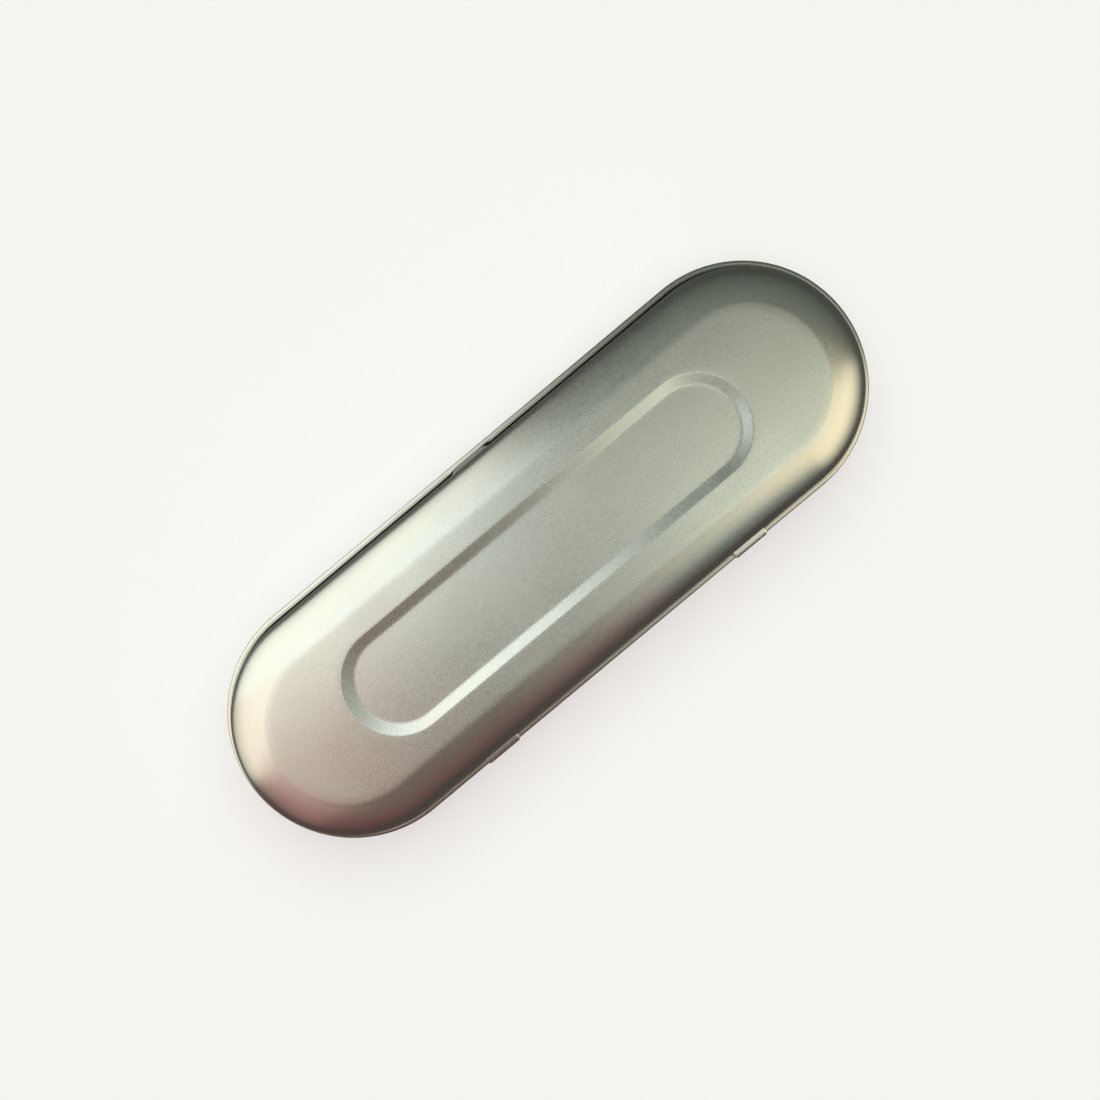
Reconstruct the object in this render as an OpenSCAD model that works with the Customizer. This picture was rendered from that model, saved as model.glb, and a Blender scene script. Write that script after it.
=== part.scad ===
// Hinged tin case with rounded ends: a drawn base pan with a rolled rim, a drawn lid with a sunk panel,
// and the wire that stiffens the rim where the lid's tongues are curled round it.
// Frame: +Z up, long side along X, thumb tab at -Y, hinge at +Y, origin at the centre of the bottom.
// All sizes are in millimetres.

/* [Case] */
// Length over the rolled rim
tin_length = 170; // [150:1:190]
// Width over the rolled rim
tin_width = 56.5; // [54:0.5:62]
// Height of the base, from the bottom to the top of the rolled rim
base_height = 15; // [12:0.5:24]
// Height of the lid's top above the rolled rim
lid_rise = 14.5; // [13.5:0.1:16]
// Thickness of the tinplate
sheet = 0.28; // [0.26:0.01:0.3]

/* [Base] */
// Outer radius between the bottom and the wall
base_corner_r = 4.5; // [3:0.5:6]
// Depth of the stiffening panel pressed up into the bottom
foot_depth = 0.5; // [0.3:0.1:0.8]
// Width of the flat resting band round that panel
foot_band = 6; // [4:0.5:8]

/* [Rolled rim] */
// Outer diameter of the rolled rim
bead_d = 1.4; // [1.36:0.02:1.5]
// Gap between the rolled rim and the lid's wall
lid_gap = 0.4; // [0.3:0.05:0.5]

/* [Lid] */
// Outer radius between the lid's top and its wall
lid_edge_r = 8.8; // [7:0.1:9.2]
// Depth of the skirt below the top of the rolled rim
plug_depth = 2.8; // [1.5:0.1:3.5]
// Length of the sunk panel at its outer edge
panel_length = 109.6; // [90:0.2:116]
// Width of the sunk panel at its outer edge
panel_width = 24.8; // [18:0.2:28]
// Depth of the sunk panel
panel_depth = 0.38; // [0.2:0.02:0.6]
// Width of the sloping band round the sunk panel, and round the panel in the bottom
panel_slope = 2.9; // [2:0.1:3.5]

/* [Thumb tab] */
// Width of the thumb tab at the lid's wall
tab_width = 11.4; // [9:0.2:14]
// Width of the tab's flat front
tab_front = 7.6; // [6:0.2:8.6]
// How far the tab stands out from the lid's wall
tab_out = 0.67; // [0.5:0.01:0.8]

/* [Hinge] */
// Distance between the middles of the two hinge tongues
tongue_pitch = 72; // [50:1:90]
// Width of each tongue
tongue_width = 9.2; // [7:0.2:12]
// Play between a tongue and the rolled rim it turns on
hinge_play = 0.08; // [0.06:0.01:0.1]
// Bevel on each tongue's corners, seen from above
tongue_bevel = 0.5; // [0.2:0.1:0.7]
// Width of the slot cut beside each tongue
relief_w = 0.4; // [0.3:0.05:0.6]
// Diameter of the wire inside the rolled rim
wire_d = 0.8; // [0.7:0.01:0.8]
// Length of that wire
wire_length = 104; // [96:1:106]

/* [Hidden] */

$fn = 96;
little = 0.05;

// Both end arcs are centred this far from the middle.
end_x = (tin_length - tin_width) / 2;

// Centre of the rolled rim, from the arcs' centres and from the bottom; it is the hinge's axis at the rear.
bead_r = bead_d / 2;
bead_y = tin_width / 2 - bead_r;
bead_z = base_height - bead_r;
slit_x = 0.25;

// Outer faces of the base's wall and of the lid's wall.
base_wall = bead_y - bead_r + sheet;
lid_wall = bead_y - bead_r - lid_gap;
lid_top = base_height + lid_rise;

// Pressed panels: where they end, the steps in each sloping band, and the share of it in each rounded edge.
panel_r = panel_width / 2;
panel_end_x = (panel_length - panel_width) / 2;
foot_r = base_wall - base_corner_r - foot_band;
slope_steps = 12;
slope_round = 0.22;

// A tongue's bent sheet lies between these two radii about the rolled rim's centre.
curl_in = bead_r + hinge_play;
curl_out = curl_in + sheet;
corner_fill = 0.24;
slot_top = bead_z + curl_out + corner_fill;

// The lid's wall is straight up to this height.
wall_top = lid_top - lid_edge_r;

// The skirt's lower edge, inside the base.
skirt_z = base_height - plug_depth;

// The tab hangs just above the rolled rim and blends into the wall at wall_top.
tab_clear = 0.12;
tab_z = base_height + tab_clear;
tab_lip = 0.4;
tab_inner_y = lid_wall - 4;

// Windows in the base's rear wall, under the rolled rim.
window_w = tongue_width + 2 * relief_w;
window_drop = 1.3;

// The part of a ring of sheet between two directions, right of the axis and above (up = 1) or below (-1).
module quarter_ring(outer_r, up) {
    intersection() {
        difference() {
            circle(r = outer_r);
            circle(r = outer_r - sheet);
        }
        translate([0, up > 0 ? 0 : -outer_r - 1])
            square(outer_r + 1);
    }
}

// Carries a wall section round the stadium: x is the distance from the arcs' centres, y the height.
module stadium_sweep(half_gap) {
    for (side = [0, 1])
        mirror([side, 0, 0])
            translate([half_gap, 0, 0])
                rotate([0, 0, -90])
                    rotate_extrude(angle = 180)
                        children();
    along_x(2 * half_gap) {
        children();
        mirror([1, 0, 0])
            children();
    }
}

// Draws a section of the Y-Z plane out along X, centred on X = 0.
module along_x(length) {
    translate([-length / 2, 0, 0])
        rotate([90, 0, 90])
            linear_extrude(length)
                children();
}

// A straight-sided block with the stadium's plan.
module stadium_block(half_gap, r, z, height) {
    translate([0, 0, z])
        linear_extrude(height) {
            for (side = [-1, 1])
                translate([side * half_gap, 0])
                    circle(r = r);
            square([2 * half_gap, 2 * r], center = true);
        }
}

// Rise of a sloping band over its width: straight, with rounded edges.
function rise(u) =
    u < slope_round ? u * u / (2 * slope_round * (1 - slope_round)) :
    u > 1 - slope_round ? 1 - (1 - u) * (1 - u) / (2 * slope_round * (1 - slope_round)) :
    (u - slope_round / 2) / (1 - slope_round);

// Section of a sheet pressed down by depth inside radius r.
function pressed_face(r, slope, depth) = concat(
    [[0, -depth]],
    [for (i = [0 : slope_steps]) [r - slope * (1 - i / slope_steps), -depth * rise(1 - i / slope_steps)]]);
function backwards(list) = [for (i = [len(list) - 1 : -1 : 0]) list[i]];

module pressed_section(r, slope, depth) {
    face = pressed_face(r, slope, depth);
    polygon(concat(face, [for (p = backwards(face)) [p[0], p[1] - sheet]]));
}

// --- base pan ---

module rim_curl() {
    difference() {
        circle(r = bead_r);
        circle(r = bead_r - sheet);
        translate([-bead_d, -bead_d])
            square([bead_d - slit_x, bead_d]);
    }
}

module base_section() {
    square([base_wall - base_corner_r, sheet]);
    translate([base_wall - base_corner_r, base_corner_r])
        quarter_ring(base_corner_r, -1);
    translate([base_wall - sheet, base_corner_r])
        square([sheet, bead_z - base_corner_r]);
    translate([bead_y, bead_z])
        rim_curl();
}

// The opening under the rolled rim that a tongue's end swings through.
module hinge_window() {
    along_x(window_w)
        difference() {
            translate([base_wall - 2 * sheet, bead_z - window_drop])
                square([3 * sheet, window_drop]);
            translate([bead_y, bead_z])
                circle(r = bead_r);
        }
}

module base_pan() {
    color("gainsboro") {
        difference() {
            stadium_sweep(end_x)
                base_section();
            stadium_block(end_x, foot_r, -1, sheet + 2);
            for (side = [-1, 1])
                translate([side * tongue_pitch / 2, 0, 0])
                    hinge_window();
        }
        mirror([0, 0, 1])
            stadium_sweep(end_x)
                pressed_section(foot_r, panel_slope, foot_depth);
    }
}

// --- lid ---

module lid_section() {
    translate([0, lid_top - sheet])
        square([lid_wall - lid_edge_r, sheet]);
    translate([lid_wall - lid_edge_r, wall_top])
        quarter_ring(lid_edge_r, 1);
    translate([lid_wall - sheet, skirt_z])
        square([sheet, wall_top - skirt_z]);
}

// The tab's outer form; inset shrinks it by the sheet's thickness to make the hollow behind it.
module tab_form(inset) {
    foot = tab_z - (inset > 0 ? 1 : 0);
    front_y = lid_wall + tab_out - inset;
    back_y = lid_wall - inset;
    intersection() {
        translate([0, 0, foot])
            linear_extrude(wall_top - foot)
                polygon([
                    [-tab_width / 2 + inset, -tab_inner_y],
                    [-tab_width / 2 + inset, -back_y],
                    [-tab_front / 2 + inset, -front_y],
                    [tab_front / 2 - inset, -front_y],
                    [tab_width / 2 - inset, -back_y],
                    [tab_width / 2 - inset, -tab_inner_y]]);
        along_x(2 * tab_width)
            polygon([
                [-front_y, foot],
                [-front_y, tab_z + tab_lip],
                [-back_y, wall_top],
                [-tab_inner_y, wall_top],
                [-tab_inner_y, foot]]);
    }
}

// A tongue's section: down the lid's wall, out over the rolled rim, and round it to the underside.
module tongue_section() {
    wall_x = lid_wall - bead_y;
    difference() {
        circle(r = curl_out);
        circle(r = curl_in);
        translate([-2 * curl_out, 0])
            square(2 * curl_out);
        translate([-2 * curl_out, -2 * curl_out])
            square([2 * curl_out - slit_x, 2 * curl_out]);
    }
    translate([wall_x - sheet, curl_in])
        square([sheet - wall_x, sheet]);
    translate([wall_x - sheet, curl_in])
        square([sheet, slot_top + little - bead_z - curl_in]);
    translate([wall_x, curl_out])
        difference() {
            square(corner_fill);
            translate([corner_fill, corner_fill])
                circle(r = corner_fill);
        }
}

module tongue() {
    half = tongue_width / 2;
    root_y = lid_wall - 1;
    tip_y = bead_y + curl_out + little;
    intersection() {
        translate([0, bead_y, bead_z])
            along_x(tongue_width)
                tongue_section();
        translate([0, 0, base_height - 4])
            linear_extrude(8)
                polygon([
                    [-half, root_y],
                    [half, root_y],
                    [half, tip_y - tongue_bevel],
                    [half - tongue_bevel, tip_y],
                    [tongue_bevel - half, tip_y],
                    [-half, tip_y - tongue_bevel]]);
    }
}

// The skirt is left out under the tab and, with a narrow slot on either side, under the tongues.
module skirt_cut(x, y, width, top) {
    translate([x - width / 2, y - 1, skirt_z - 1])
        cube([width, 2, top - skirt_z + 1]);
}

module lid() {
    color("silver") {
        difference() {
            union() {
                stadium_sweep(end_x)
                    lid_section();
                tab_form(0);
            }
            tab_form(sheet);
            skirt_cut(0, -lid_wall, tab_width, tab_z);
            for (side = [-1, 1])
                skirt_cut(side * tongue_pitch / 2, lid_wall, tongue_width + 2 * relief_w, slot_top);
            stadium_block(panel_end_x, panel_r, lid_top - 1, 2);
        }
        translate([0, 0, lid_top])
            stadium_sweep(panel_end_x)
                pressed_section(panel_r, panel_slope, panel_depth);
        for (side = [-1, 1])
            translate([side * tongue_pitch / 2, 0, 0])
                tongue();
    }
}

// --- hinge wire ---

module hinge_wire() {
    color("dimgray")
        translate([-wire_length / 2, bead_y, bead_z])
            rotate([0, 90, 0])
                cylinder(d = wire_d, h = wire_length);
}

base_pan();
lid();
hinge_wire();
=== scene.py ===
"""Looks of the hinged tin case: two sheet-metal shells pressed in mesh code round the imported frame."""

from math import asin, cos, degrees, pi, radians, sin, tan

import bmesh
import bpy
from mathutils import Matrix, Vector, noise


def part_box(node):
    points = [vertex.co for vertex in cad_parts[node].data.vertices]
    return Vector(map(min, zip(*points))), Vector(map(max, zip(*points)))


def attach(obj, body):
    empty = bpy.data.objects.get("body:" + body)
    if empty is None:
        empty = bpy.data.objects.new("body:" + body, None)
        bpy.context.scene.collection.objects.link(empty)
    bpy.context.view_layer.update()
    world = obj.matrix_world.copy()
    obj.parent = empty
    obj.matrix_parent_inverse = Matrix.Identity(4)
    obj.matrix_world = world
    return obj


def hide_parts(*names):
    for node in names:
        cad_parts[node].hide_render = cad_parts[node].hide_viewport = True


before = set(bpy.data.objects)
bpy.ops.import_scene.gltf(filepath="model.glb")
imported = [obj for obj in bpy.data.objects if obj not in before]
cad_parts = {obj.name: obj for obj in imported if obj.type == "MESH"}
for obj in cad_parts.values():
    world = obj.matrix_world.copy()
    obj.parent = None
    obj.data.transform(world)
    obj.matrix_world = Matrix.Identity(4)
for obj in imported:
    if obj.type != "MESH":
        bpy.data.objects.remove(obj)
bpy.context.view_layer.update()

# ---------------------------------------------------------------- sizes, in millimetres
MM = 0.001
base_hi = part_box("base_pan")[1] / MM
lid_lo, lid_hi = [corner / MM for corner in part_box("lid")]

SHEET = 0.28            # thickness of the tinplate
BEAD_R = 0.7            # outer radius of the rolled rim
LID_GAP = 0.4           # between the rolled rim and the lid's wall
BASE_CORNER_R = 4.5     # outer radius between the bottom and the wall
FOOT_BAND = 6.0         # flat band that the case rests on
FOOT_DEPTH = 0.5        # panel pressed up into the bottom
LID_EDGE_R = 8.8        # outer radius between the lid's top and its wall
EDGE_EASE = 1.3         # half the width over which the lid's top is lowered where that radius begins
PANEL_LENGTH = 109.6    # sunk panel in the lid, over its outer edge
PANEL_WIDTH = 24.8      # the same, across
PANEL_DEPTH = 0.38
PANEL_TUCK = 0.6        # the sloping band is this much wider at the panel's ends
SLOPE = 2.9             # width of the sloping band round either pressed panel
OUTER_ROUND, INNER_ROUND = 0.13, 0.3    # share of that width taken by its two rounded edges
UNEVEN = 0.05           # the lid's top dips by up to this much, in slow swells
SWELL_LONG, SWELL_WIDE, SWELL_SEED = 31, 17, 2.1
TAB_HALF, TAB_FRONT_HALF, TAB_OUT = 5.7, 3.8, 0.67    # half widths of the tab, and its reach
TAB_FLAT = 0.4          # the lowest part of the tab, which has its full reach
TAB_SWEEP = 0.8         # below 1 the tab turns out sooner
TAB_CLEAR = 0.12        # between the rolled rim and the tab
TONGUE_X, TONGUE_HALF, TONGUE_BEVEL = 36.0, 4.6, 0.5  # middle, half width, bevel of its corners
RELIEF = 0.4            # slot beside each tongue, and beside each window under the rim
PLAY = 0.08             # between a tongue and the rim it turns on
SLIT = 0.25             # the rolled edge stops this far short of the wall's side of the rim
WINDOW_TOP_DROP, WINDOW_DROP = 0.2, 1.3    # from the rim's axis down to a window's two edges
EDGE_SOFT = 0.05        # bevel of the sheet's cut edges
CUT_ANGLE = 50          # degrees; a sharper turn than this is a cut edge
NEAR = 0.01             # tolerance when places are compared
WALL_NEAR = 0.1         # the same, for faces of the base's wall
SKIN_WELD, SHEET_WELD = 1e-4, 1e-3
FINE_STEP, BASE_STEP, STRAIGHT_STEP = 0.25, 0.8, 1.6  # of the mesh
ARC_STEPS = 96          # of the mesh, round each end of the case
FLOOR_STEPS, BAND_STEPS = 7, 20                       # of the mesh, across a pressed panel

RIM_TOP = base_hi[2]
HALF_GAP = base_hi[0] - base_hi[1]              # the end arcs' centres, from the middle
BEAD_Y = base_hi[1] - BEAD_R
BEAD_Z = RIM_TOP - BEAD_R
BASE_INNER = BEAD_Y - BEAD_R                    # inner face of the base's wall
LID_WALL = BASE_INNER - LID_GAP                 # outer face of the lid's wall
LID_TOP = lid_hi[2]
SKIRT_FOOT = lid_lo[2]
WALL_TOP = LID_TOP - LID_EDGE_R
PANEL_R = PANEL_WIDTH / 2
PANEL_GAP = (PANEL_LENGTH - PANEL_WIDTH) / 2
TAB_Z = RIM_TOP + TAB_CLEAR
CURL_OUT = BEAD_R + PLAY + SHEET                # outer radius of a tongue round the rim
BEND_R = 0.24                                   # where a tongue turns out of the lid's wall
SLOT_TOP = BEAD_Z + CURL_OUT + BEND_R
WINDOW_TOP = BEAD_Z - WINDOW_TOP_DROP
WINDOW_FOOT = BEAD_Z - WINDOW_DROP
FLAT_R = LID_WALL - LID_EDGE_R                  # edge of the lid's flat top
EDGE_DROP = 2 * EDGE_EASE ** 2 / (3 * LID_EDGE_R)


def ease(u):
    """From 0 to 1 with level ends."""
    u = min(max(u, 0.0), 1.0)
    return u * u * (3 - 2 * u)


def slope(u):
    """Drop of a pressed panel's sloping band from its outer edge: straight, with rounded edges."""
    grade = 2 / (2 - OUTER_ROUND - INNER_ROUND)
    if u < OUTER_ROUND:
        return grade * u * u / (2 * OUTER_ROUND)
    if u > 1 - INNER_ROUND:
        return 1 - grade * (1 - u) ** 2 / (2 * INNER_ROUND)
    return grade * (u - OUTER_ROUND / 2)


def steps(a, b, n):
    """n even values after a, the last one being b."""
    return [a + (b - a) * (i + 1) / n for i in range(n)]


def filled(marks, step):
    """Sorted marks with even values between them, no more than step apart."""
    marks = sorted(marks)
    out = [marks[0]]
    for a, b in zip(marks, marks[1:]):
        out += steps(a, b, max(1, int((b - a) / step + 0.999)))
    return out


# ---------------------------------------------------------------- the stadium
def stations():
    """Places round the stadium from the rear right: (share of the half gap, outward x, outward y)."""
    marks = [-HALF_GAP, HALF_GAP] + filled([-TAB_HALF, TAB_HALF], FINE_STEP)
    for side in (-1, 1):
        for edge in (TONGUE_HALF + RELIEF, TONGUE_HALF, TONGUE_HALF - TONGUE_BEVEL):
            marks += [side * TONGUE_X - edge, side * TONGUE_X + edge]
    straight = [x / HALF_GAP for x in filled(marks, STRAIGHT_STEP)]
    out = [(share, 0.0, 1.0) for share in reversed(straight)]
    out += [(-1.0, cos(a), sin(a)) for a in steps(pi / 2, 3 * pi / 2, ARC_STEPS)[:-1]]
    out += [(share, 0.0, -1.0) for share in straight]
    out += [(1.0, cos(a), sin(a)) for a in steps(-pi / 2, pi / 2, ARC_STEPS)[:-1]]
    return out


STATIONS = stations()


def ring(half_gap, r, z):
    """One row of points round the stadium."""
    return [Vector((share * half_gap + nx * r, ny * r, z)) for share, nx, ny in STATIONS]


def arc(cx, cz, r, start, end, n):
    """n points after start on an arc of the section, in degrees."""
    return [(cx + r * cos(radians(a)), cz + r * sin(radians(a))) for a in steps(start, end, n)]


def pressed(half_gap, r, z, depth, tuck=0.0):
    """Rows of a panel pressed down by depth inside radius r: flat floor, then its sloping band."""
    floor = [0.0] + steps(0, r - SLOPE, FLOOR_STEPS)
    rows = [(half_gap - tuck, q, z - depth) for q in floor]
    for u in steps(1, 0, BAND_STEPS):
        rows.append((half_gap - tuck * u, r - SLOPE * u, z - depth * slope(u)))
    return rows


# ---------------------------------------------------------------- sheet metal
def skin(rows, gone):
    """A surface through rings of points, given as rows. gone(x, y, z) drops a face by its middle."""
    bm = bmesh.new()
    rings = []
    for half_gap, r, z in rows:
        rings.append([bm.verts.new(p) for p in ring(half_gap, r, z)])
    count = len(STATIONS)
    for lower, upper in zip(rings, rings[1:]):
        for i in range(count):
            j = (i + 1) % count
            corners = (lower[i], upper[i], upper[j], lower[j])
            middle = sum((v.co for v in corners), Vector()) / 4
            if not gone(*middle):
                bm.faces.new(corners)
    bmesh.ops.delete(bm, geom=[v for v in bm.verts if not v.link_faces], context="VERTS")
    bmesh.ops.remove_doubles(bm, verts=bm.verts, dist=SKIN_WELD)
    return bm


def strip(bm, xs, path, width):
    """Adds a bent strip of sheet: path is a list of (y, z), width(y) the half width there as a share."""
    mid = (xs[0] + xs[-1]) / 2
    grid = [[bm.verts.new((mid + (x - mid) * width(y), y, z)) for x in xs] for y, z in path]
    for above, below in zip(grid, grid[1:]):
        for i in range(len(xs) - 1):
            bm.faces.new((above[i], below[i], below[i + 1], above[i + 1]))


def sheet_metal(name, bm):
    """Turns a surface, its middle facing up, into sheet: thickness behind it, and softened edges."""
    bmesh.ops.remove_doubles(bm, verts=bm.verts, dist=SHEET_WELD)
    bmesh.ops.recalc_face_normals(bm, faces=bm.faces)
    middle = min(bm.faces, key=lambda f: f.calc_center_median().xy.length)
    if middle.normal.z < 0:
        bmesh.ops.reverse_faces(bm, faces=bm.faces)
    for v in bm.verts:
        v.co *= MM
    mesh = bpy.data.meshes.new(name)
    bm.to_mesh(mesh)
    bm.free()
    piece = bpy.data.objects.new(name, mesh)
    bpy.context.collection.objects.link(piece)
    solid = piece.modifiers.new("thickness", "SOLIDIFY")
    solid.thickness = SHEET * MM
    solid.offset = -1
    solid.use_even_offset = True
    solid.use_quality_normals = True
    bevel = piece.modifiers.new("edges", "BEVEL")
    bevel.width = EDGE_SOFT * MM
    bevel.segments = 2
    bevel.limit_method = "ANGLE"
    bevel.angle_limit = radians(CUT_ANGLE)
    bevel.harden_normals = False
    for polygon in mesh.polygons:
        polygon.use_smooth = True
    return piece


# ---------------------------------------------------------------- lid
def lid_rows():
    """Rows from the panel's middle outwards and down: panel, flat top, rounded edge, wall, skirt."""
    rows = pressed(PANEL_GAP, PANEL_R, LID_TOP, PANEL_DEPTH, PANEL_TUCK)
    for u in steps(0, 1, n=10):
        rows.append((PANEL_GAP + (HALF_GAP - PANEL_GAP) * u, PANEL_R + (FLAT_R - PANEL_R) * u, LID_TOP))
    rows += [(HALF_GAP, r, z) for r, z in arc(FLAT_R, WALL_TOP, LID_EDGE_R, 90, 0, n=30)]
    for z in filled([WALL_TOP, SLOT_TOP, TAB_Z], FINE_STEP)[::-1][1:]:
        rows.append((HALF_GAP, LID_WALL, z))
    rows += [(HALF_GAP, LID_WALL, z) for z in steps(TAB_Z, SKIRT_FOOT, n=5)]
    return rows


def beside_tongue(x):
    """Within a tongue's width, with the slots beside it."""
    return abs(abs(x) - TONGUE_X) < TONGUE_HALF + RELIEF


def lid_gone(x, y, z):
    """The skirt is left out under the thumb tab and, with a slot on either side, under the tongues."""
    if y < 0 and abs(x) < TAB_HALF and z < TAB_Z:
        return True
    return y > 0 and beside_tongue(x) and z < SLOT_TOP


def press_lid(p):
    """Pushes the thumb tab out, leaves the top slightly uneven and lowers it towards its rounded edge."""
    q = p.copy()
    if p.y < 0 and TAB_Z - NEAR < p.z < WALL_TOP and abs(p.x) < TAB_HALF:
        across = ease((TAB_HALF - abs(p.x)) / (TAB_HALF - TAB_FRONT_HALF))
        down = min((WALL_TOP - p.z) / (WALL_TOP - TAB_Z - TAB_FLAT), 1.0)
        q.y -= TAB_OUT * across * ease(down) ** TAB_SWEEP
    if p.z > WALL_TOP:
        rise = (p.z - WALL_TOP) / (LID_TOP - WALL_TOP)
        swell = noise.noise(Vector((p.x / SWELL_LONG, p.y / SWELL_WIDE, SWELL_SEED)))
        q.z -= UNEVEN * rise * (1 + swell) / 2
        spine = Vector((max(abs(p.x) - HALF_GAP, 0.0), p.y))
        share = (spine.length - FLAT_R + EDGE_EASE) / (2 * EDGE_EASE)
        q.z -= rise * min(max(share, 0.0), 1.0) ** 3 * EDGE_DROP
    return q


def tongue_path():
    """A tongue's outer face as (y, z): out of the lid's wall, over the rim and round it."""
    turn = degrees(asin(SLIT / CURL_OUT))
    path = [(LID_WALL, SLOT_TOP)]
    path += arc(LID_WALL + BEND_R, SLOT_TOP, BEND_R, 180, 270, n=6)
    path += [(y, BEAD_Z + CURL_OUT) for y in steps(LID_WALL + BEND_R, BEAD_Y, n=3)]
    return path + arc(BEAD_Y, BEAD_Z, CURL_OUT, 90, -90 - turn, n=26)


def tongue_width(y):
    """Half width of a tongue, as a share: its corners are bevelled, seen from above."""
    over = max(0.0, y - (BEAD_Y + CURL_OUT - TONGUE_BEVEL))
    return (TONGUE_HALF - over) / TONGUE_HALF


def make_lid():
    bm = skin(lid_rows(), lid_gone)
    for v in bm.verts:
        v.co = press_lid(v.co)
    xs = sorted(share * HALF_GAP for share, nx, ny in STATIONS if ny == 1.0)
    for side in (-1, 1):
        mid = side * TONGUE_X
        strip(bm, [x for x in xs if abs(x - mid) < TONGUE_HALF + NEAR], tongue_path(), tongue_width)
    return sheet_metal("lid_shell", bm)


# ---------------------------------------------------------------- base
def base_rows():
    """The modelled face is the inside one, which becomes the outer face of the rolled rim."""
    foot_r = BASE_INNER + SHEET - BASE_CORNER_R - FOOT_BAND
    corner = BASE_CORNER_R - SHEET
    rows = [(HALF_GAP, r, z) for _, r, z in pressed(HALF_GAP, foot_r, SHEET, -FOOT_DEPTH)]
    rows += [(HALF_GAP, r, SHEET) for r in steps(foot_r, BASE_INNER - corner, n=4)]
    rows += [(HALF_GAP, r, z) for r, z in arc(BASE_INNER - corner, BASE_CORNER_R, corner, -90, 0, n=18)]
    for z in filled([BASE_CORNER_R, WINDOW_FOOT, WINDOW_TOP, BEAD_Z], BASE_STEP)[1:]:
        rows.append((HALF_GAP, BASE_INNER, z))
    turn = degrees(asin(SLIT / BEAD_R))
    rows += [(HALF_GAP, r, z) for r, z in arc(BEAD_Y, BEAD_Z, BEAD_R, 180, -90 - turn, n=32)]
    return rows


def base_gone(x, y, z):
    """Windows under the rim, which the ends of the tongues swing through."""
    wall = abs(y - BASE_INNER) < WALL_NEAR and WINDOW_FOOT < z < WINDOW_TOP
    return wall and beside_tongue(x)


def make_base():
    return sheet_metal("base_shell", skin(base_rows(), base_gone))


# ---------------------------------------------------------------- materials
# Noise layers: cells per metre, detail, roughness of the detail.
GRAIN = 3000, 3, 0.6
SPECKLE = 1150, 2, 0.55
CLOUDS = 65, 3, 0.5
RUBBED = 24, 4, 0.6
SPREAD, CLOUD_SPREAD = (0.3, 0.7), (0.35, 0.65)       # the part of a layer's values that is used
SPECKLE_TINT, CLOUD_TINT, GRAIN_TINT = 0.24, 0.4, 0.12
RUBBED_GLOSS, SPECKLE_GLOSS = 0.03, 0.02              # change of roughness, either way
SPECKLE_BUMP, GRAIN_BUMP = (0.065, 0.00006), (0.05, 0.00003)    # strength, height in metres
# Darkest and lightest colour, and roughness.
LID_TIN = (0.675, 0.715, 0.655), (0.74, 0.78, 0.72), 0.28
BASE_TIN = (0.66, 0.695, 0.635), (0.725, 0.76, 0.705), 0.30
WIRE_STEEL = (0.42, 0.42, 0.42), (0.56, 0.56, 0.55), 0.3


class Nodes:
    """Short names for building one material's node tree."""

    def __init__(self, name):
        self.material = bpy.data.materials.new(name)
        self.material.use_nodes = True
        self.tree = self.material.node_tree
        self.shader = self.tree.nodes["Principled BSDF"]

    def add(self, kind, **values):
        node = self.tree.nodes.new("ShaderNode" + kind)
        for key, value in values.items():
            if key in node.inputs:
                node.inputs[key].default_value = value
            else:
                setattr(node, key, value)
        return node

    def link(self, out, to):
        self.tree.links.new(out, to)

    def noise(self, where, scale, detail, rough):
        node = self.add("TexNoise", Scale=scale, Detail=detail, Roughness=rough)
        self.link(where, node.inputs["Vector"])
        return node.outputs["Fac"]

    def map(self, value, low, high, to_low, to_high):
        node = self.add("MapRange")
        for socket, number in zip(node.inputs[1:5], (low, high, to_low, to_high)):
            socket.default_value = number
        self.link(value, node.inputs[0])
        return node.outputs[0]

    def math(self, operation, *values):
        node = self.add("Math", operation=operation)
        for socket, value in zip(node.inputs, values):
            if isinstance(value, (int, float)):
                socket.default_value = value
            else:
                self.link(value, socket)
        return node.outputs[0]

    def tint(self, factor, dark, light):
        """A colour between dark and light."""
        node = self.add("Mix", data_type="RGBA")
        colours = [i for i in node.inputs if i.type == "RGBA"]
        colours[0].default_value = (*dark, 1)
        colours[1].default_value = (*light, 1)
        self.link(factor, node.inputs["Factor"])
        return [o for o in node.outputs if o.type == "RGBA"][0]

    def bump(self, height, strength, distance, onto=None):
        node = self.add("Bump", Strength=strength, Distance=distance)
        self.link(height, node.inputs["Height"])
        if onto:
            self.link(onto, node.inputs["Normal"])
        return node.outputs["Normal"]


def tinplate(name, dark, light, rough):
    """Satin tinplate: a fine grain over a coarser speckle, faint clouding, and rubbed patches."""
    n = Nodes(name)
    where = n.add("TexCoord").outputs["Object"]
    grain = n.noise(where, *GRAIN)
    speckle = n.noise(where, *SPECKLE)
    clouds = n.noise(where, *CLOUDS)
    rubbed = n.noise(where, *RUBBED)
    tone = n.math("ADD", n.map(speckle, *SPREAD, 0, SPECKLE_TINT),
                  n.map(clouds, *CLOUD_SPREAD, 0, CLOUD_TINT))
    tone = n.math("ADD", tone, n.map(grain, *SPREAD, 0, GRAIN_TINT))
    n.link(n.tint(tone, dark, light), n.shader.inputs["Base Color"])
    gloss = n.math("ADD", n.map(rubbed, *SPREAD, rough - RUBBED_GLOSS, rough + RUBBED_GLOSS),
                   n.map(speckle, *SPREAD, -SPECKLE_GLOSS, SPECKLE_GLOSS))
    n.link(gloss, n.shader.inputs["Roughness"])
    n.shader.inputs["Metallic"].default_value = 1
    coarse = n.bump(speckle, *SPECKLE_BUMP)
    n.link(n.bump(grain, *GRAIN_BUMP, coarse), n.shader.inputs["Normal"])
    return n.material


def dress(piece, material):
    piece.data.materials.clear()
    piece.data.materials.append(material)


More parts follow.
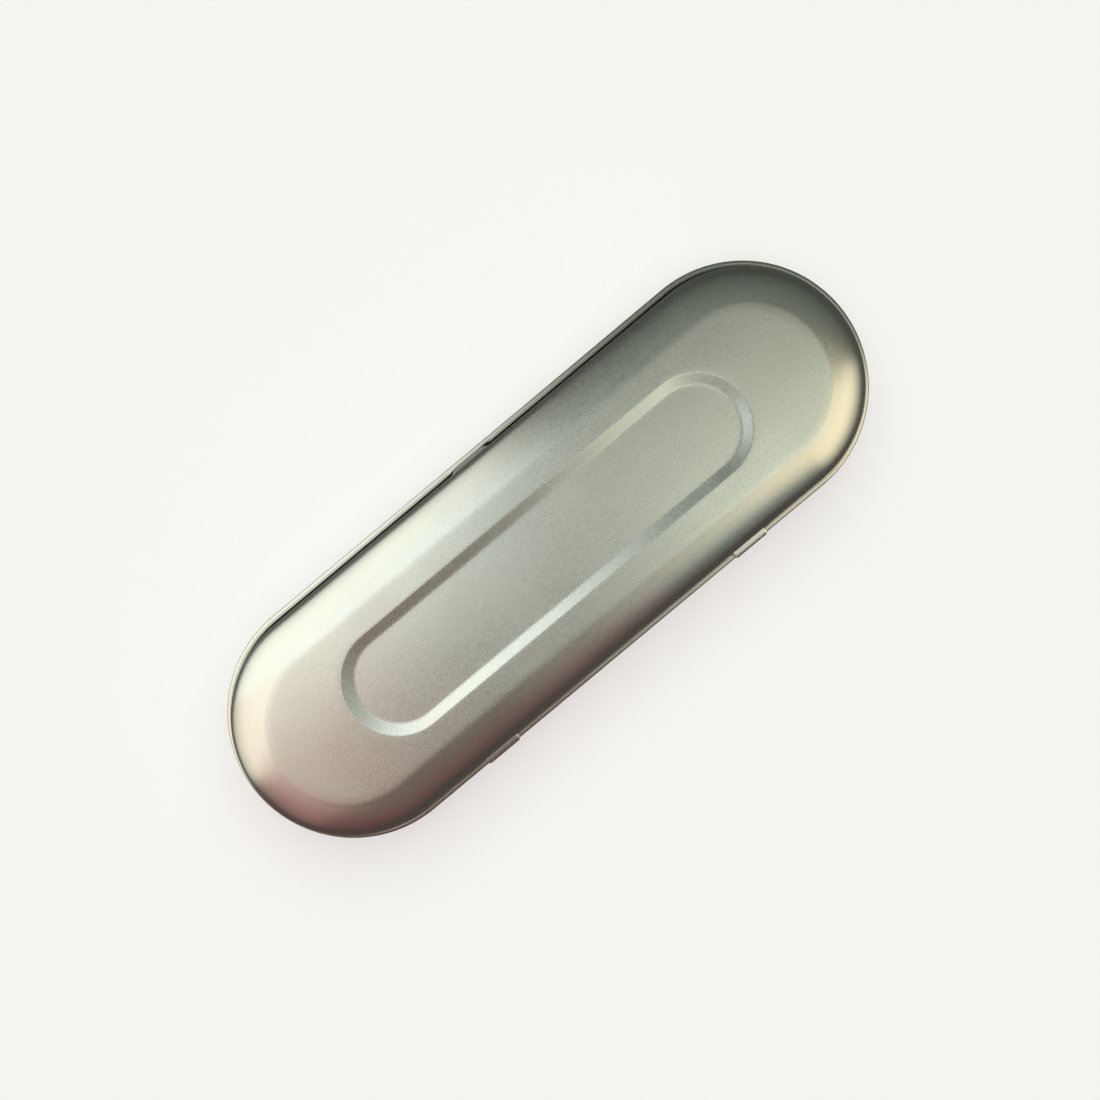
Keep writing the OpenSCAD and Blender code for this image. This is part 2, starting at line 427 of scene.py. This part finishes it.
lid = make_lid()
base = make_base()
dress(lid, tinplate("lid_tinplate", *LID_TIN))
dress(base, tinplate("base_tinplate", *BASE_TIN))
wire_steel = tinplate("steel_wire", *WIRE_STEEL)
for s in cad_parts["hinge_wire"].material_slots:
    s.material = wire_steel

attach(lid, "lid")
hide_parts("lid")
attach(base, "base")
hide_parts("base_pan")

# ---------------------------------------------------------------- stage, light and camera
# From here on, lengths are in metres.
FLOOR_TINT, FLOOR_GLOW_TINT = (0.8, 0.8, 0.795), (1, 1, 0.99)
FLOOR_GLOW = 0.45               # the paper is lit from within a little, which keeps it even
FLOOR_Z, FLOOR_SIZE, FLOOR_CELLS = -0.00005, 12, 8
SUN_LEVEL, SUN_SPREAD = 1.35, radians(70)
SUN_LEAN = radians(12), radians(-10)
BACKDROP = 0.93                 # what the camera sees of the room
CARD_CENTRE = Vector((0, 0, LID_TOP * MM))
CARD_DISTANCE = 0.38, 0.56      # of corners less and more than CARD_KNEE from straight up
CARD_KNEE = 60
CARD_GLOW = 2                   # a card's colours are divided by this in its ramp and multiplied after it
TURN = radians(39.934)          # of the picture, from the case's length


def make_floor():
    """Pale paper, clear from below. The metal mirrors the room and not the paper."""
    bm = bmesh.new()
    bmesh.ops.create_grid(bm, x_segments=FLOOR_CELLS, y_segments=FLOOR_CELLS, size=FLOOR_SIZE)
    bmesh.ops.translate(bm, verts=bm.verts, vec=(0, 0, FLOOR_Z))
    mesh = bpy.data.meshes.new("floor")
    bm.to_mesh(mesh)
    bm.free()
    floor = bpy.data.objects.new("floor", mesh)
    bpy.context.collection.objects.link(floor)
    n = Nodes("floor_paper")
    n.shader.inputs["Base Color"].default_value = (*FLOOR_TINT, 1)
    n.shader.inputs["Roughness"].default_value = 1
    n.shader.inputs["Specular IOR Level"].default_value = 0
    n.shader.inputs["Emission Color"].default_value = (*FLOOR_GLOW_TINT, 1)
    n.shader.inputs["Emission Strength"].default_value = FLOOR_GLOW
    pick = n.add("MixShader")
    n.link(n.add("NewGeometry").outputs["Backfacing"], pick.inputs[0])
    n.link(n.shader.outputs[0], pick.inputs[1])
    n.link(n.add("BsdfTransparent").outputs[0], pick.inputs[2])
    n.link(pick.outputs[0], n.tree.nodes["Material Output"].inputs["Surface"])
    dress(floor, n.material)
    floor.visible_glossy = False


def make_sun():
    """Broad soft light from overhead, for the paper. The metal mirrors the cards and the room."""
    data = bpy.data.lights.new("overhead", "SUN")
    data.energy = SUN_LEVEL
    data.angle = SUN_SPREAD
    sun = bpy.data.objects.new("overhead", data)
    bpy.context.collection.objects.link(sun)
    sun.rotation_euler = (*SUN_LEAN, 0)
    sun.visible_glossy = False


def heading(phi, theta):
    """A direction from the case: phi clockwise from the picture's right, theta from straight up."""
    p, t = radians(phi), radians(theta)
    across, down = cos(p) * sin(t), sin(p) * sin(t)
    x = -across * cos(TURN) + down * sin(TURN)
    y = across * sin(TURN) + down * cos(TURN)
    return Vector((x, y, cos(t)))


def colour_ramp(tree, value, stops):
    """Colours along a value: stops are (place from 0 to 1, colour)."""
    ramp = tree.nodes.new("ShaderNodeValToRGB")
    for _ in stops[2:]:
        ramp.color_ramp.elements.new(0.5)
    for element, (place, colour) in zip(ramp.color_ramp.elements, stops):
        element.position = place
        element.color = (*colour, 1)
    tree.links.new(value, ramp.inputs["Fac"])
    return ramp.outputs["Color"]


def light_card(name, phis, thetas, tones):
    """A glowing card over two spans of direction from the case. tones: (theta, colour) down it."""
    near, far = CARD_DISTANCE
    bm = bmesh.new()
    corners = []
    for phi, theta in zip((*phis, *phis[::-1]), (thetas[0], thetas[0], thetas[1], thetas[1])):
        distance = near if theta < CARD_KNEE else far
        corners.append(bm.verts.new(heading(phi, theta) * distance + CARD_CENTRE))
    bm.faces.new(corners)
    mesh = bpy.data.meshes.new(name)
    bm.to_mesh(mesh)
    bm.free()
    card = bpy.data.objects.new(name, mesh)
    bpy.context.collection.objects.link(card)
    n = Nodes(name)
    offset = n.add("VectorMath", operation="SUBTRACT")
    offset.inputs[1].default_value = CARD_CENTRE
    n.link(n.add("TexCoord").outputs["Object"], offset.inputs[0])
    unit = n.add("VectorMath", operation="NORMALIZE")
    n.link(offset.outputs[0], unit.inputs[0])
    height = n.add("SeparateXYZ")
    n.link(unit.outputs[0], height.inputs[0])
    theta = n.math("MULTIPLY", n.math("ARCCOSINE", height.outputs["Z"]), 1 / pi)
    stops = [(angle / 180, [level / CARD_GLOW for level in colour]) for angle, colour in tones]
    n.link(colour_ramp(n.tree, theta, stops), n.shader.inputs["Emission Color"])
    n.shader.inputs["Base Color"].default_value = (0, 0, 0, 1)
    n.shader.inputs["Emission Strength"].default_value = CARD_GLOW
    dress(card, n.material)
    card.visible_camera = False
    card.visible_shadow = False
    card.visible_diffuse = False


# The camera looks down at the case. Its aim and lens were fitted to the picture's outline, its leans
# from the vertical were then set.
CAMERA_DISTANCE = 0.465
LEAN_X, LEAN_Y = radians(-1.79), radians(-2.3)
AIM = Vector((-0.000717, 0.000219, RIM_TOP * MM))
SENSOR, LENS = 36, 68.10644     # millimetres
CLIP = 0.01, 20


def make_camera():
    data = bpy.data.cameras.new("camera")
    data.sensor_width = SENSOR
    data.lens = LENS
    data.clip_start, data.clip_end = CLIP
    camera = bpy.data.objects.new("camera", data)
    bpy.context.collection.objects.link(camera)
    back = Vector((tan(LEAN_X), tan(LEAN_Y), 1)).normalized()
    right = Vector((-cos(TURN), sin(TURN), 0))
    right = (right - back * right.dot(back)).normalized()
    up = back.cross(right)
    turn = Matrix((right, up, back)).transposed()
    camera.matrix_world = Matrix.Translation(AIM + back * CAMERA_DISTANCE) @ turn.to_4x4()
    bpy.context.scene.camera = camera


# The room's colour in a direction is ROOM_SIDE times ROOM_HEIGHT plus ROOM_GROUND. The first goes by
# how far the direction points to the warm side, the other two by how far it points up.
WARM_PHI = 95
ROOM_SIDE = [(-1.0, (0.128, 0.142, 0.12)), (-0.3, (0.16, 0.172, 0.148)), (0.05, (0.185, 0.18, 0.158)),
             (0.28, (0.15, 0.122, 0.108)), (0.6, (0.178, 0.114, 0.106)), (1.0, (0.205, 0.088, 0.088))]
ROOM_HEIGHT = [(-1.0, (0.28, 0.28, 0.28)), (-0.35, (0.28, 0.28, 0.28)), (0.0, (0.8, 0.8, 0.8)),
               (0.5, (1.07, 1.05, 1.03)), (0.9, (1.08, 1.08, 1.07)), (1.0, (1.13, 1.18, 1.21))]
ROOM_GROUND = [(-1.0, (0.03, 0.03, 0.029)), (-0.7, (0.035, 0.035, 0.034)), (-0.3, (0.025, 0.025, 0.024)),
               (0.0, (0, 0, 0)), (1.0, (0, 0, 0))]


def make_world():
    """A dim room, green-grey to one side and red-brown to the other. The camera sees it pale."""
    world = bpy.data.worlds.new("studio")
    bpy.context.scene.world = world
    world.use_nodes = True
    tree = world.node_tree
    background = tree.nodes["Background"]
    seen = tree.nodes.new("ShaderNodeBackground")
    seen.inputs["Color"].default_value = (1, 1, 1, 1)
    seen.inputs["Strength"].default_value = BACKDROP
    where = tree.nodes.new("ShaderNodeTexCoord").outputs["Generated"]

    def along(direction, stops):
        """Colours by how far a direction points along another, from -1 to 1."""
        dot = tree.nodes.new("ShaderNodeVectorMath")
        dot.operation = "DOT_PRODUCT"
        dot.inputs[1].default_value = direction
        tree.links.new(where, dot.inputs[0])
        span = tree.nodes.new("ShaderNodeMapRange")
        span.inputs["From Min"].default_value = -1
        tree.links.new(dot.outputs["Value"], span.inputs["Value"])
        return colour_ramp(tree, span.outputs["Result"], [((at + 1) / 2, colour) for at, colour in stops])

    side = along(heading(WARM_PHI, 90), ROOM_SIDE)
    height = along((0, 0, 1), ROOM_HEIGHT)
    ground = along((0, 0, 1), ROOM_GROUND)
    both = tree.nodes.new("ShaderNodeVectorMath")
    both.operation = "MULTIPLY_ADD"
    for colour, socket in zip((side, height, ground), both.inputs):
        tree.links.new(colour, socket)
    tree.links.new(both.outputs[0], background.inputs["Color"])
    path = tree.nodes.new("ShaderNodeLightPath")
    pick = tree.nodes.new("ShaderNodeMixShader")
    tree.links.new(path.outputs["Is Camera Ray"], pick.inputs[0])
    tree.links.new(background.outputs[0], pick.inputs[1])
    tree.links.new(seen.outputs[0], pick.inputs[2])
    tree.links.new(pick.outputs[0], tree.nodes["World Output"].inputs["Surface"])


light_card("window_card", (176, 230), (3.5, 118),
           [(3, (1.42, 1.50, 1.52)), (16, (1.38, 1.42, 1.42)), (32, (1.36, 1.37, 1.33)),
            (55, (1.40, 1.37, 1.28)), (75, (1.42, 1.38, 1.28)), (90, (1.35, 1.30, 1.18)),
            (105, (1.12, 1.10, 1.0)), (118, (0.8, 0.8, 0.72))])
light_card("window_edge_card", (143, 176), (3.5, 122),
           [(3, (1.68, 1.72, 1.66)), (16, (1.58, 1.52, 1.43)), (24, (1.48, 1.38, 1.25)),
            (32, (1.40, 1.28, 1.11)), (60, (1.40, 1.16, 1.02)), (80, (1.32, 1.12, 0.98)),
            (95, (1.06, 0.94, 0.78)), (122, (0.6, 0.56, 0.48))])
light_card("lamp_card", (-17, 34), (30, 110),
           [(30, (1.30, 1.13, 0.82)), (65, (1.38, 1.15, 0.83)), (80, (1.20, 1.02, 0.74)),
            (95, (0.62, 0.56, 0.43)), (110, (0.3, 0.29, 0.23))])
light_card("lamp_edge_card", (-27, 33), (6, 30),
           [(6, (1.10, 1.14, 1.02)), (30, (1.14, 1.10, 0.88))])
light_card("lamp_side_card", (34, 47), (10, 108),
           [(10, (0.30, 0.34, 0.34)), (24, (0.36, 0.40, 0.38)), (36, (0.46, 0.52, 0.50)),
            (60, (0.40, 0.455, 0.45)), (80, (0.17, 0.22, 0.22)), (108, (0.1, 0.11, 0.1))])
light_card("warm_card", (112, 143), (16, 108),
           [(16, (0.53, 0.30, 0.28)), (40, (0.54, 0.30, 0.28)), (60, (0.50, 0.25, 0.235)),
            (85, (0.36, 0.19, 0.17)), (108, (0.2, 0.11, 0.1))])

make_sun()
make_floor()
make_world()
make_camera()
bpy.context.scene.view_settings.view_transform = "Standard"
